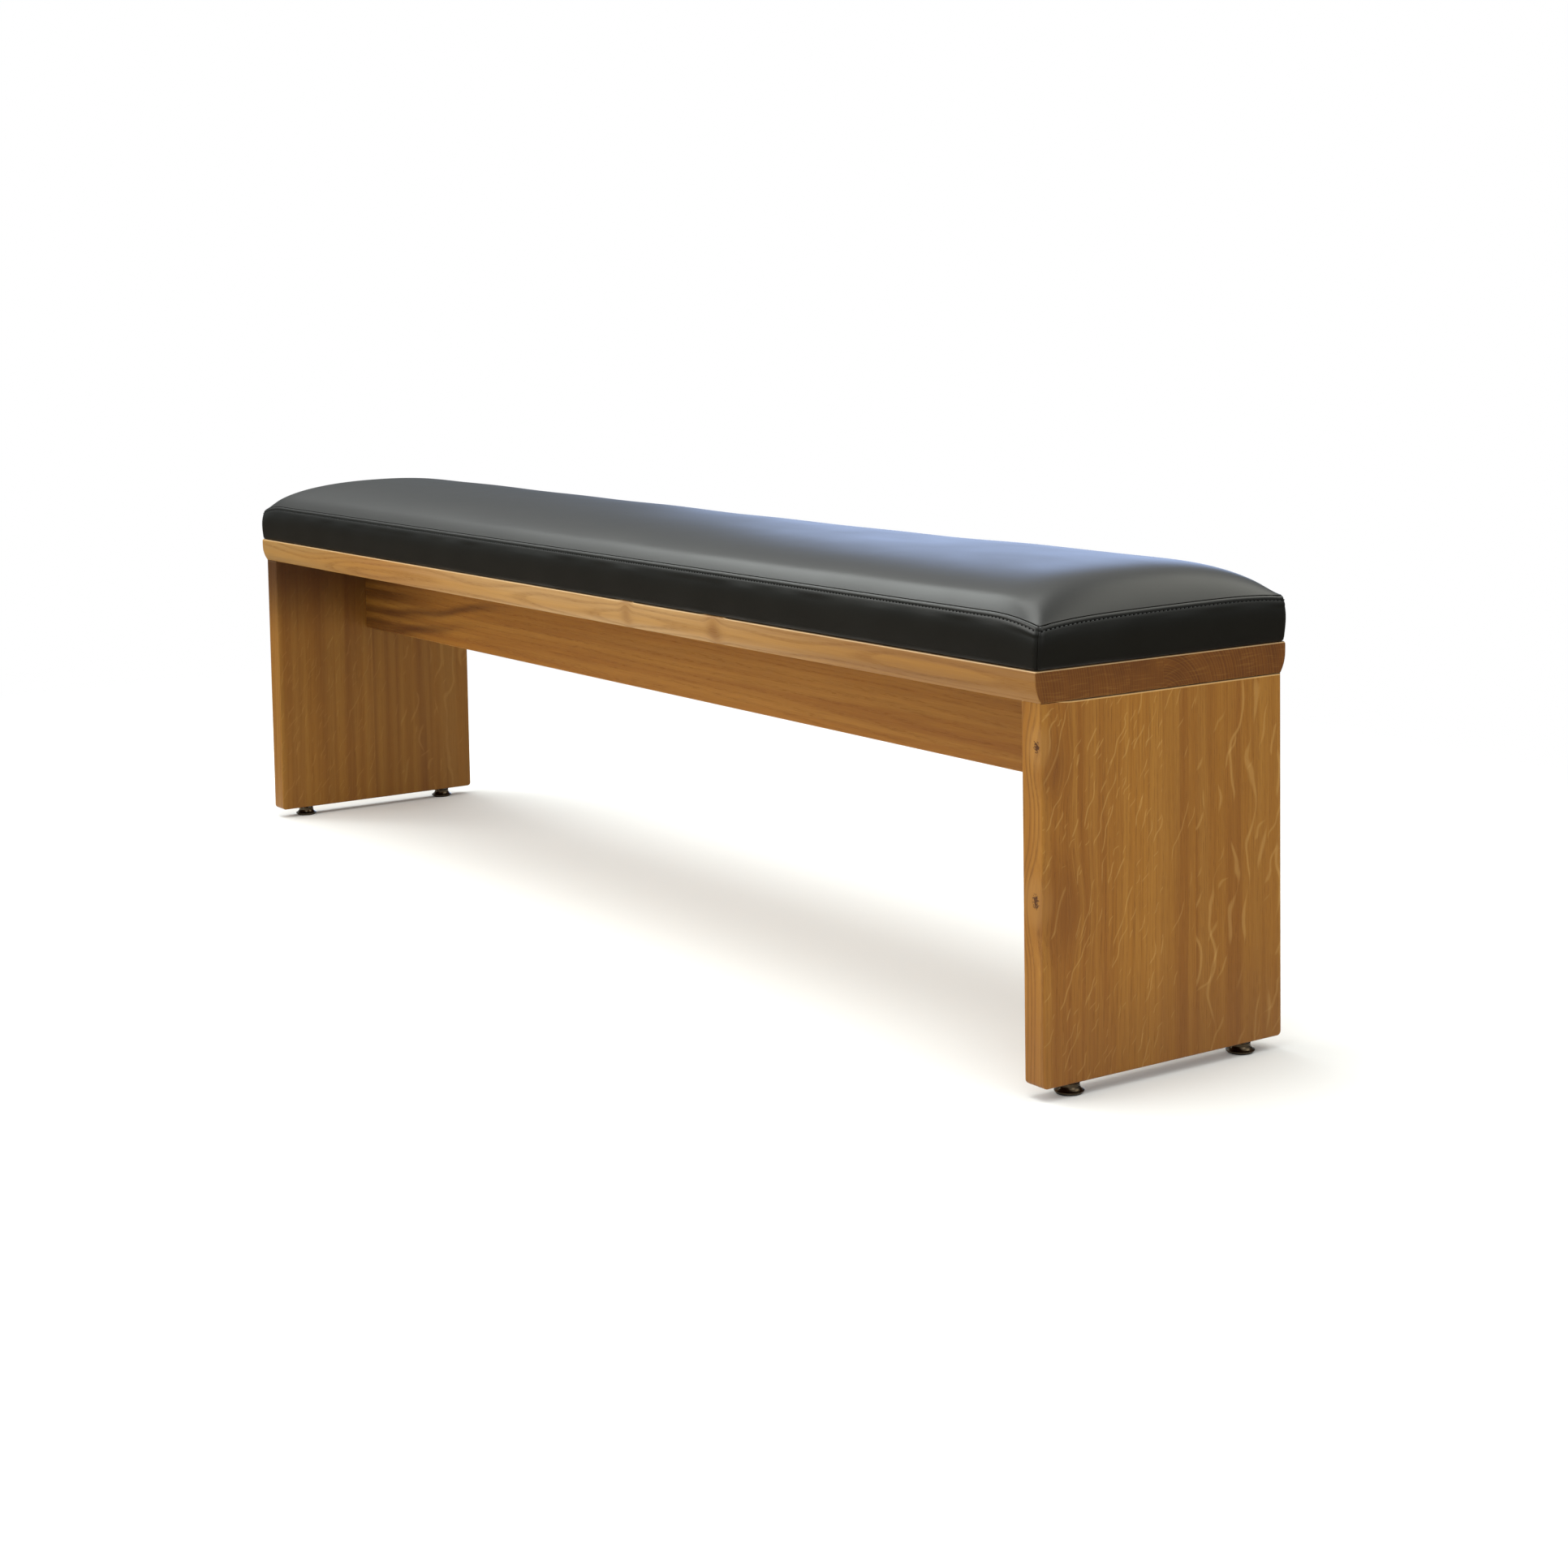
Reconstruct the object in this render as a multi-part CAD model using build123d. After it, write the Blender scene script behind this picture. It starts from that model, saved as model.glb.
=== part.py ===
from build123d import *
import os

# A padded oak bench: two slab legs and a seat board glued up from staves, a centre
# stretcher on edge under the board, a leather seat pad screwed on from below, and
# four levelling feet whose bases swivel on their screws.
# Sizes are in millimetres. X runs along the bench, the front faces -Y, the floor is z = 0.

# Slab legs
bench_length = 1800.0
leg_depth = 315.0
leg_thickness = 30.0
leg_height = 375.0
leg_edge_round = 2.0
leg_corner_round = 5.0
leg_joint_shares = (-0.013, 0.127)  # glue lines between staves, of the leg's depth

# Seat board, whose long edges swell out past the legs
board_thickness = 32.0
board_overhang = 7.0
board_belly_height = 22.0  # where the swelling edge stands upright
board_top_round = 3.5
board_end_round = 1.5
board_joint_shares = (-0.143, -0.006)

# Stretcher
stretcher_height = 112.0
stretcher_thickness = 25.0
stretcher_edge_round = 2.0

# Loose tenons and dowels, hidden in the joints
tenon_thickness = 10.0
tenon_length = 44.0
leg_tenon_width = 50.0
leg_tenon_shares = (-0.36, -0.15, 0.15, 0.36)  # places across the leg's depth
stretcher_tenon_width = 36.0
stretcher_tenon_shares = (-0.23, 0.23)  # places up the stretcher's height
dowel_diameter = 10.0
dowel_length = 44.0
dowel_count = 6
dowel_end_distance = 120.0
glue_gap = 0.1

# Levelling feet
foot_height = 13.0  # floor to the leg's underside
foot_edge_distance = 43.5  # foot centre to the leg's front or back edge
foot_rim_diameter = 30.0
foot_rim_height = 2.5
foot_rim_land = 0.5
foot_underside_diameter = 26.0
foot_flare_height = 4.5
foot_flare_sink = 0.5  # how far the flare curves in from a straight cone
foot_neck_diameter = 21.0
foot_neck_gap = 2.0  # neck to leg as set in the photograph
foot_neck_chamfer = 0.5
glide_thickness = 0.8
glide_boss_height = 1.2
stem_diameter = 8.0
stem_engagement = 24.0  # screw inside the leg
stem_point = 1.0
stem_collar_diameter = 12.4
stem_collar_height = 2.9
stem_relief = 4.0  # room above the screw, for turning it further in
running_gap = 0.05
socket_gap = 0.3
insert_diameter = 12.0
insert_length = 25.0
insert_flange_diameter = 17.0
insert_flange_height = 1.5

# Seat pad: plywood base, foam core and a boxed leather cover
pad_end_reveal = 3.0  # board showing past the pad at each end
pad_side_reveal = 1.5
side_bulge = 3.0  # how far the pad's long sides swell
seam_height = 49.0  # top seam over the board at mid length
seam_corner_drop = 5.5
end_seam_height = 50.0  # top seam over the board at mid depth of an end
corner_draw = 5.0  # how far the corners are drawn in at the seam
corner_reach = 100.0
crown_height = 86.5
crown_dip = 2.0  # the middle of the pad lies this much lower
shoulder_reach = 140.0  # from an end seam to the flat of the crown
shoulder_power = 5
section_shoulder_share = 0.7
section_drop_share = 0.34
station_shares = (0.0, 0.04, 0.1, 0.2, 0.34, 0.55, 0.78, 1.0)  # of shoulder_reach
leather_thickness = 1.5
leather_turn = 2.5  # top panel turned down over the edge to the seam
leather_tuck = 25.0  # leather turned in under the base
base_thickness = 12.0
base_margin = 3.0  # foam and leather wrapped round the base's edge
cloth_thickness = 1.0
cloth_lap = 0.5
screw_diameter = 4.5
screw_head_diameter = 9.0
screw_head_height = 3.0
screw_bite = 9.0
screw_play = 0.5
screw_recess_diameter = 14.0
screw_recess_depth = 10.0
screw_columns = 5
screw_end_distance = 120.0
screw_edge_distance = 50.0

overrun = 1.0  # how far a cutting shape passes the face it cuts

# Levels and half sizes that several pieces share
leg_bottom = foot_height
leg_top = leg_bottom + leg_height
board_top = leg_top + board_thickness
stretcher_bottom = leg_top - stretcher_height
half_length = bench_length / 2
half_depth = leg_depth / 2
leg_inner = half_length - leg_thickness
leg_middle = half_length - leg_thickness / 2
pad_half_length = half_length - pad_end_reveal
pad_half_depth = half_depth + board_overhang - pad_side_reveal
foot_base_height = foot_height - foot_neck_gap
foot_recess_top = glide_thickness + glide_boss_height + stem_collar_height + 2 * running_gap
CENTRE_DOWN = (Align.CENTER, Align.CENTER, Align.MIN)


def block(low, high):
    """A box from one corner to the other."""
    size = [b - a for a, b in zip(low, high)]
    middle = [(a + b) / 2 for a, b in zip(low, high)]
    return Pos(*middle) * Box(*size)


def rod(diameter, height, x, y, z):
    """An upright round bar standing on (x, y, z)."""
    return Pos(x, y, z) * Cylinder(diameter / 2, height, align=CENTRE_DOWN)


def tenon(plane, width, gap=0.0):
    """A loose tenon half sunk each side of the plane, or with a gap its mortises."""
    outline = SlotOverall(width + 2 * gap, tenon_thickness + 2 * gap)
    return extrude(plane * outline, amount=tenon_length / 2 + gap, both=True)


def leg_tenons(side, gap=0.0):
    """The tenons between one leg and the board. side is -1 left, 1 right."""
    shapes = []
    for share in leg_tenon_shares:
        centre = (side * leg_middle, share * leg_depth, leg_top)
        shapes.append(tenon(Plane(centre, x_dir=(0, 1, 0), z_dir=(0, 0, 1)), leg_tenon_width, gap))
    return shapes


def stretcher_tenons(side, gap=0.0):
    """The tenons between one end of the stretcher and its leg."""
    shapes = []
    for share in stretcher_tenon_shares:
        centre = (side * leg_inner, 0, leg_top - stretcher_height * (1 / 2 - share))
        shapes.append(tenon(Plane(centre, x_dir=(0, 0, 1), z_dir=(1, 0, 0)), stretcher_tenon_width, gap))
    return shapes


def spread(count, reach):
    """Evenly spaced places from -reach to reach."""
    return [reach * (2 * i / (count - 1) - 1) for i in range(count)]


def dowels(gap=0.0):
    """Upright dowels between the stretcher's top edge and the board."""
    length = dowel_length + 2 * gap
    places = spread(dowel_count, leg_inner - dowel_end_distance)
    return [rod(dowel_diameter + 2 * gap, length, x, 0, leg_top - length / 2) for x in places]


def screw_places():
    """Where the screws come up through the board into the pad's base."""
    columns = spread(screw_columns, leg_inner - screw_end_distance)
    row = half_depth - screw_edge_distance
    return [(x, y) for x in columns for y in (-row, row)]


def foot_places():
    """Names and centres of the four feet."""
    row = half_depth - foot_edge_distance
    return {
        "front_left": (-leg_middle, -row),
        "front_right": (leg_middle, -row),
        "back_left": (-leg_middle, row),
        "back_right": (leg_middle, row),
    }


def cut_all(shape, tools):
    """The shape with every tool cut out of it."""
    for tool in tools:
        shape -= tool
    return shape


def staves(panel, names, joint_shares):
    """A glued-up panel sawn along its joints into its staves, front to back."""
    box = panel.bounding_box()
    joints = [leg_depth * share for share in joint_shares]
    edges = [box.min.Y - overrun, *joints, box.max.Y + overrun]
    pieces = {}
    for name, front, back in zip(names, edges, edges[1:]):
        pieces[name] = panel & block((box.min.X, front, box.min.Z), (box.max.X, back, box.max.Z))
    return pieces


def leg(side):
    """One slab leg: rounded outline, eased edges, mortises and the holes for its feet."""
    outline = Plane.YZ * Pos(0, leg_bottom + leg_height / 2) * Rectangle(leg_depth, leg_height)
    slab = Pos(side * leg_middle, 0, 0) * extrude(outline, amount=leg_thickness / 2, both=True)
    lower = slab.edges().filter_by(Axis.X).group_by(Axis.Z)[0]
    slab = fillet(lower, leg_corner_round)
    faces = slab.faces().filter_by(Axis.X)
    slab = fillet([edge for face in faces for edge in face.edges()], leg_edge_round)
    slab = cut_all(slab, leg_tenons(side, glue_gap) + stretcher_tenons(side, glue_gap))
    for x, y in foot_places().values():
        if x * side > 0:
            slab = cut_all(slab, insert_hole(x, y))
    return slab


def insert_hole(x, y):
    """The stepped hole in a leg's underside for an insert and the screw above it."""
    depth = stem_engagement + stem_relief
    return [
        rod(insert_flange_diameter + 2 * glue_gap, insert_flange_height, x, y, leg_bottom),
        rod(insert_diameter + 2 * glue_gap, insert_length, x, y, leg_bottom),
        rod(stem_diameter + 2 * socket_gap, max(depth, insert_length), x, y, leg_bottom),
    ]


def board():
    """The seat board: swelling long edges, eased ends, mortises and screw holes."""
    wide = half_depth + board_overhang
    belly = TangentArc((wide, board_belly_height), (half_depth, 0), tangent=(0, -1))
    side = Line((wide, board_belly_height), (wide, board_thickness - board_top_round))
    top_round = TangentArc(side @ 1, (wide - board_top_round, board_thickness), tangent=(0, 1))
    half = [belly, side, top_round]
    other = [mirror(edge, Plane.YZ) for edge in half]
    flats = [
        Line((half_depth, 0), (-half_depth, 0)),
        Line(top_round @ 1, (board_top_round - wide, board_thickness)),
    ]
    outline = make_face(Curve() + half + other + flats)
    panel = Pos(0, 0, leg_top) * extrude(Plane.YZ * outline, amount=half_length, both=True)
    ends = panel.faces().filter_by(Axis.X)
    panel = fillet([edge for face in ends for edge in face.edges()], board_end_round)
    panel = cut_all(panel, leg_tenons(-1, glue_gap) + leg_tenons(1, glue_gap) + dowels(glue_gap))
    for x, y in screw_places():
        panel -= rod(screw_diameter + 2 * screw_play, board_thickness + 2 * overrun, x, y, leg_top - overrun)
        panel -= rod(screw_recess_diameter, screw_recess_depth, x, y, leg_top)
    return panel


def stretcher():
    """The board on edge between the legs, with its lower edges eased."""
    half = stretcher_thickness / 2
    bar = block((-leg_inner, -half, stretcher_bottom), (leg_inner, half, leg_top))
    bar = fillet(bar.edges().filter_by(Axis.X).group_by(Axis.Z)[0], stretcher_edge_round)
    joints = stretcher_tenons(-1, glue_gap) + stretcher_tenons(1, glue_gap) + dowels(glue_gap)
    return cut_all(bar, joints)


def foot_base():
    """The turned metal base, standing on its glide at the origin."""
    rim = foot_rim_diameter / 2
    neck = foot_neck_diameter / 2
    under = foot_underside_diameter / 2
    bore = stem_diameter / 2 + running_gap
    recess = stem_collar_diameter / 2 + socket_gap
    rim_top = foot_rim_height + foot_rim_land
    flare_top = rim_top + foot_flare_height
    lower = Line((recess, glide_thickness), (under, glide_thickness))
    curl = TangentArc((under, glide_thickness), (rim, foot_rim_height), tangent=(1, 0))
    land = Line((rim, foot_rim_height), (rim, rim_top))
    hollow = ((rim + neck) / 2 - foot_flare_sink, (rim_top + flare_top) / 2 - foot_flare_sink)
    flare = ThreePointArc((rim, rim_top), hollow, (neck, flare_top))
    rest = Polyline(
        (neck, flare_top),
        (neck, foot_base_height - foot_neck_chamfer),
        (neck - foot_neck_chamfer, foot_base_height),
        (bore, foot_base_height),
        (bore, foot_recess_top),
        (recess, foot_recess_top),
        (recess, glide_thickness),
    )
    section = make_face(Plane.XZ * (Curve() + [lower, curl, land, flare, rest]))
    return revolve(section, Axis.Z)


def glide():
    """The plastic glide, pressed into the base from below and closing its socket."""
    boss_diameter = stem_collar_diameter + 2 * socket_gap - 2 * running_gap
    disc = rod(foot_underside_diameter, glide_thickness, 0, 0, 0)
    return disc + rod(boss_diameter, glide_thickness + glide_boss_height, 0, 0, 0)


def stem():
    """The levelling screw, whose collar turns in the base's socket."""
    collar_z = glide_thickness + glide_boss_height + running_gap
    shank_top = leg_bottom + stem_engagement
    collar = rod(stem_collar_diameter, stem_collar_height, 0, 0, collar_z)
    shank = rod(stem_diameter, shank_top - collar_z, 0, 0, collar_z)
    tip = shank.faces().sort_by(Axis.Z)[-1].edges()
    return collar + chamfer(tip, stem_point)


def insert():
    """The threaded insert in the leg, with its flange flush underneath."""
    sleeve = rod(insert_diameter, insert_length, 0, 0, leg_bottom)
    sleeve += rod(insert_flange_diameter, insert_flange_height, 0, 0, leg_bottom)
    return sleeve - rod(stem_diameter + 2 * running_gap, leg_height, 0, 0, leg_bottom - overrun)


def near_end(distance, reach, power):
    """1 at the pad's very end, easing to 0 at the given reach from it."""
    return max(0.0, 1 - distance / reach) ** power


def pad_section(distance, inset):
    """The pad's outline across the bench at a distance from its end, drawn in by inset."""
    corner = near_end(distance, corner_reach, 2)
    rise = 1 - near_end(distance, shoulder_reach, shoulder_power)
    dip = crown_dip * max(0.0, distance - shoulder_reach) / (pad_half_length - shoulder_reach)
    seam = seam_height - seam_corner_drop * corner - inset
    crown = end_seam_height + (crown_height - dip - end_seam_height) * rise - inset
    foot = pad_half_depth - side_bulge - inset
    edge = foot - corner_draw * corner
    shoulder = edge * section_shoulder_share
    shoulder_z = crown - (crown - seam) * section_drop_share
    side_middle = ((foot + edge) / 2 + side_bulge, (inset + seam) / 2)
    side = ThreePointArc((foot, inset), side_middle, (edge, seam))
    top = ThreePointArc((-shoulder, shoulder_z), (0, crown), (shoulder, shoulder_z))
    fall = TangentArc(top @ 1, (edge, seam), tangent=top % 1)
    base = Line((-foot, inset), (foot, inset))
    outline = Curve() + [base, side, fall, top, mirror(side, Plane.YZ), mirror(fall, Plane.YZ)]
    return make_face(outline)


def pad_section_at(x, inset):
    """The pad's outline in its place along the bench."""
    plane = Plane((x, 0, board_top), x_dir=(0, 1, 0), z_dir=(1, 0, 0))
    return plane * pad_section(pad_half_length - inset - abs(x), inset)


def pad_form(inset):
    """The pad's whole crowned form, or with an inset the space inside its cover."""
    end = pad_half_length - inset
    rounded = [pad_section_at(end - share * shoulder_reach, inset) for share in station_shares]
    shoulder = loft(rounded)
    flat = end - shoulder_reach
    middle = loft([pad_section_at(x, inset) for x in (-flat, 0.0, flat)], ruled=True)
    return middle + shoulder + mirror(shoulder, Plane.YZ)


def below_long_seams():
    """Everything under the seams of the pad's long sides, ending in mitres at the corners."""
    seam = board_top + seam_height - leather_turn
    corner = seam - seam_corner_drop
    bend = pad_half_length - corner_reach
    right = TangentArc((bend, seam), (pad_half_length, corner), tangent=(1, 0))
    rest = Polyline(
        (pad_half_length, corner),
        (half_length, corner),
        (half_length, leg_top),
        (-half_length, leg_top),
        (-half_length, corner),
        (-pad_half_length, corner),
    )
    top = Line((-bend, seam), (bend, seam))
    outline = make_face(Plane.XZ * (Curve() + [right, mirror(right, Plane.YZ), top, rest]))
    region = extrude(outline, amount=half_depth + board_overhang, both=True)
    return region - end_mitre(-1) - end_mitre(1)


def end_mitre(side):
    """The wedge of space behind one end of the pad, between its corner seams."""
    back = pad_half_depth + board_overhang
    outline = Polyline(
        (pad_half_length - pad_half_depth, 0),
        (pad_half_length + board_overhang, back),
        (pad_half_length + board_overhang, -back),
        close=True,
    )
    wedge = Pos(0, 0, leg_top) * extrude(make_face(outline), amount=board_thickness + 2 * crown_height)
    return wedge if side > 0 else mirror(wedge, Plane.YZ)


def below_end_seam(side):
    """Everything under the seam of one end of the pad, between its corner seams."""
    edge = pad_half_depth - side_bulge - corner_draw
    top = board_top + end_seam_height - leather_turn
    corner = board_top + seam_height - seam_corner_drop - leather_turn
    arch = ThreePointArc((-edge, corner), (0, top), (edge, corner))
    wide = half_depth + board_overhang
    rest = Polyline(
        (edge, corner),
        (wide, corner),
        (wide, leg_top),
        (-wide, leg_top),
        (-wide, corner),
        (-edge, corner),
    )
    outline = make_face(Plane.YZ * (Curve() + [arch, rest]))
    return extrude(outline, amount=half_length, both=True) & end_mitre(side)


def cover_panels():
    """The leather cover's five panels: the crowned top and four boxing strips."""
    tuck = leather_tuck + side_bulge
    window_x = pad_half_length - tuck
    window_y = pad_half_depth - tuck
    window_top = board_top + leather_thickness + overrun
    window = block((-window_x, -window_y, board_top - overrun), (window_x, window_y, window_top))
    skin = pad_form(0.0) - pad_form(leather_thickness) - window
    sides = below_long_seams()
    front_half = block((-half_length, -leg_depth, leg_top), (half_length, 0, board_top + crown_height))
    panels = {
        "pad_front_boxing": skin & sides & front_half,
        "pad_back_boxing": skin & sides & mirror(front_half, Plane.XZ),
        "pad_left_boxing": skin & below_end_seam(-1),
        "pad_right_boxing": skin & below_end_seam(1),
    }
    panels["pad_top_panel"] = skin - sides - below_end_seam(-1) - below_end_seam(1)
    return panels


def pad_base():
    """The plywood base inside the pad, drilled for its screws."""
    x = pad_half_length - leather_thickness - base_margin
    y = pad_half_depth - side_bulge - leather_thickness - base_margin
    low = board_top + leather_thickness
    sheet = block((-x, -y, low), (x, y, low + base_thickness))
    for place in screw_places():
        sheet -= rod(screw_diameter + 2 * glue_gap, screw_bite + glue_gap, *place, low)
    return sheet


def pad_core():
    """The foam core, wrapped down round the edge of the base."""
    low = board_top + leather_thickness
    x = pad_half_length - leather_thickness - base_margin
    y = pad_half_depth - side_bulge - leather_thickness - base_margin
    return pad_form(leather_thickness) - block((-x, -y, low - overrun), (x, y, low + base_thickness))


def pad_cloth():
    """The cloth that closes the pad's underside between the turned-in leather."""
    x = pad_half_length - leather_tuck - side_bulge - cloth_lap
    y = pad_half_depth - leather_tuck - side_bulge - cloth_lap
    top = board_top + leather_thickness
    sheet = block((-x, -y, top - cloth_thickness), (x, y, top))
    for place in screw_places():
        sheet -= rod(screw_diameter + 2 * screw_play, leather_thickness, *place, board_top)
    return sheet


def pad_screws():
    """The screws up through the board into the base, as one set."""
    head_z = leg_top + screw_recess_depth - screw_head_height
    tip_z = board_top + leather_thickness + screw_bite
    screws = []
    for x, y in screw_places():
        head = rod(screw_head_diameter, screw_head_height, x, y, head_z)
        screws.append(head + rod(screw_diameter, tip_z - head_z, x, y, head_z))
    return Compound(screws)


nodes = {}
for name, side in (("left", -1), ("right", 1)):
    names = [f"{name}_leg_{place}_stave" for place in ("front", "middle", "back")]
    nodes.update(staves(leg(side), names, leg_joint_shares))
    nodes[f"{name}_leg_tenons"] = Compound(leg_tenons(side))
    nodes[f"{name}_stretcher_tenons"] = Compound(stretcher_tenons(side))
board_names = [f"board_{place}_stave" for place in ("front", "middle", "back")]
nodes.update(staves(board(), board_names, board_joint_shares))
nodes["stretcher"] = stretcher()
nodes["stretcher_dowels"] = Compound(dowels())
foot_pieces = {"insert": insert(), "stem": stem(), "base": foot_base(), "glide": glide()}
for place, (x, y) in foot_places().items():
    for piece, shape in foot_pieces.items():
        nodes[f"{place}_foot_{piece}"] = Pos(x, y, 0) * shape
nodes.update(cover_panels())
nodes["pad_core"] = pad_core()
nodes["pad_base"] = pad_base()
nodes["pad_cloth"] = pad_cloth()
nodes["pad_screws"] = pad_screws()

os.makedirs("parts", exist_ok=True)
for name, shape in nodes.items():
    export_step(shape, f"parts/{name}.step")
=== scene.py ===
import math

import bpy
import numpy as np
from mathutils import Matrix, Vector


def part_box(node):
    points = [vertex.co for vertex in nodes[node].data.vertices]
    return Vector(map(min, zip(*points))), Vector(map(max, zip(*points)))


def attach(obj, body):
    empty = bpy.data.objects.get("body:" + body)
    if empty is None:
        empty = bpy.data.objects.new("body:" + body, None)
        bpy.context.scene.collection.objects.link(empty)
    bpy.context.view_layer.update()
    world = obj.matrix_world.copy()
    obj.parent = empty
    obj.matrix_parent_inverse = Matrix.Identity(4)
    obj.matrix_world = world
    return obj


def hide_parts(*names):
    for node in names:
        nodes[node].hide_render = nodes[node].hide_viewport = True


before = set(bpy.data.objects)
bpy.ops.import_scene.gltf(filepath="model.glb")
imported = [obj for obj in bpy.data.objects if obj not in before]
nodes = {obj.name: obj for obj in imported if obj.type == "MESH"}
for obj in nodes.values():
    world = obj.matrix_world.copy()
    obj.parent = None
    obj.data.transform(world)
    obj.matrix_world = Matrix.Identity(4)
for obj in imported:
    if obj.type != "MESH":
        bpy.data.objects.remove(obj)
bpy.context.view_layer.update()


# Camera, solved from the straight edges of the bench in the photograph. The eye stands 2.7 m from the
# near end and 0.3 m above the seat, and looks slightly down. The photograph's perspective was
# corrected, which is what the vertical shift stands for.
def set_up(name, data, place, side, over, back):
    """Stands a camera or lamp at a place, given which ways are its right, its up and its back."""
    thing = bpy.data.objects.new(name, data)
    bpy.context.scene.collection.objects.link(thing)
    turn = Matrix([[side[i], over[i], back[i]] for i in range(3)])
    thing.matrix_world = Matrix.Translation(place) @ turn.to_4x4()
    return thing


photo_side = 1932
focal_pixels = 3349.1
centre_row = 620.2
eye = (2.87456, -1.79605, 0.79634)
yaw, pitch, roll = 0.97215, 0.08319, -0.01653
ahead = np.array(
    [-math.sin(yaw) * math.cos(pitch), math.cos(yaw) * math.cos(pitch), -math.sin(pitch)]
)
level = np.array([math.cos(yaw), math.sin(yaw), 0.0])
upright = np.cross(level, ahead)
right = level * math.cos(roll) + upright * math.sin(roll)
up = upright * math.cos(roll) - level * math.sin(roll)
camera = set_up("camera", bpy.data.cameras.new("camera"), eye, right, up, -ahead)
camera.data.sensor_width = 36.0
camera.data.lens = focal_pixels / photo_side * camera.data.sensor_width
camera.data.shift_y = (centre_row - photo_side / 2) / photo_side
bpy.context.scene.camera = camera
bpy.context.scene.view_settings.view_transform = "Standard"


# Sky of a day-lit workshop: dim walls, a bright ceiling, and a cool window low behind the bench that
# gives the pad's top its blue sheen. The camera sees plain white instead. It and every finish are
# written as recipes, which the two classes here turn into nodes.
class Amount:
    """A number, place or colour inside a finish's recipe, which takes arithmetic as a number does."""

    def __init__(self, recipe, socket):
        self.recipe = recipe
        self.socket = socket

    def work(self, operation, first, second=0.0):
        return self.recipe.add("ShaderNodeMath", {"operation": operation}, {0: first, 1: second})

    def __add__(self, other):
        return self.work("ADD", self, other)

    def __radd__(self, other):
        return self.work("ADD", other, self)

    def __sub__(self, other):
        return self.work("SUBTRACT", self, other)

    def __rsub__(self, other):
        return self.work("SUBTRACT", other, self)

    def __mul__(self, other):
        return self.work("MULTIPLY", self, other)

    def __rmul__(self, other):
        return self.work("MULTIPLY", other, self)

    def __truediv__(self, other):
        return self.work("DIVIDE", self, other)

    def __rtruediv__(self, other):
        return self.work("DIVIDE", other, self)

    def __pow__(self, other):
        return self.work("POWER", self, other)

    def __rpow__(self, other):
        return self.work("POWER", other, self)

    def __mod__(self, other):
        return self.work("FLOORED_MODULO", self, other)

    def __abs__(self):
        return self.work("ABSOLUTE", self)


class Recipe:
    """The recipe of one finish, or of the sky: a node tree, and one way to add a node to it."""

    def __init__(self, owner):
        self.owner = owner
        owner.use_nodes = True
        self.tree = owner.node_tree
        self.tree.nodes.clear()

    def add(self, kind, settings=None, inputs=None, output=0):
        node = self.tree.nodes.new(kind)
        for key, value in (settings or {}).items():
            setattr(node, key, value)
        for key, value in (inputs or {}).items():
            socket = node.inputs[key]
            if isinstance(value, Amount):
                self.tree.links.new(value.socket, socket)
            elif socket.type == "RGBA" and len(value) == 3:
                socket.default_value = (*value, 1.0)
            else:
                socket.default_value = value
        return Amount(self, node.outputs[output]) if len(node.outputs) else None

    def ease(self, value, low, high):
        """0 below low and 1 above high, with a smooth rise between."""
        limits = {"Value": value, "From Min": low, "From Max": high}
        return self.add("ShaderNodeMapRange", {"interpolation_type": "SMOOTHSTEP"}, limits)

    def mix(self, share, first, second):
        return self.add("ShaderNodeMix", {"data_type": "RGBA"}, {0: share, 6: first, 7: second}, 2)

    def vector(self, operation, inputs, output=0):
        return self.add("ShaderNodeVectorMath", {"operation": operation}, inputs, output)

    def noise(self, place, lumps, seed=0.0, detail=0.0):
        """Soft noise from 0 to 1 at a place, with its own number of lumps a metre on each axis."""
        moved = self.vector("MULTIPLY_ADD", {0: place, 1: lumps, 2: (seed, seed * 1.7, -seed)})
        return self.add("ShaderNodeTexNoise", None, {"Vector": moved, "Scale": 1.0, "Detail": detail})

    def split(self, place):
        return [self.add("ShaderNodeSeparateXYZ", None, {0: place}, axis) for axis in "XYZ"]

    def join(self, x, y, z):
        return self.add("ShaderNodeCombineXYZ", None, {0: x, 1: y, 2: z})

    def seen_by(self):
        """Which rays come straight from the camera, and which by way of a mirror or glass."""
        kinds = ("Is Camera Ray", "Is Glossy Ray", "Is Transmission Ray")
        straight, mirrored, passed = [self.add("ShaderNodeLightPath", output=kind) for kind in kinds]
        return straight, mirrored + passed

    def surface(self, sockets, relief=None, strength=0.0, depth=0.0):
        """Ends a finish in its shader, with any relief as a bump of this strength and depth."""
        if relief is not None:
            bump = {"Strength": strength, "Distance": depth, "Height": relief}
            sockets = {**sockets, "Normal": self.add("ShaderNodeBump", None, bump)}
        skin = self.add("ShaderNodeBsdfPrincipled", None, sockets)
        self.add("ShaderNodeOutputMaterial", None, {"Surface": skin})


def stain(red, green, blue):
    """A colour given as it shows, from 0 to 255, made linear."""
    shares = [value / 255 for value in (red, green, blue)]
    return tuple(s / 12.92 if s <= 0.04045 else ((s + 0.055) / 1.055) ** 2.4 for s in shares)


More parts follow.
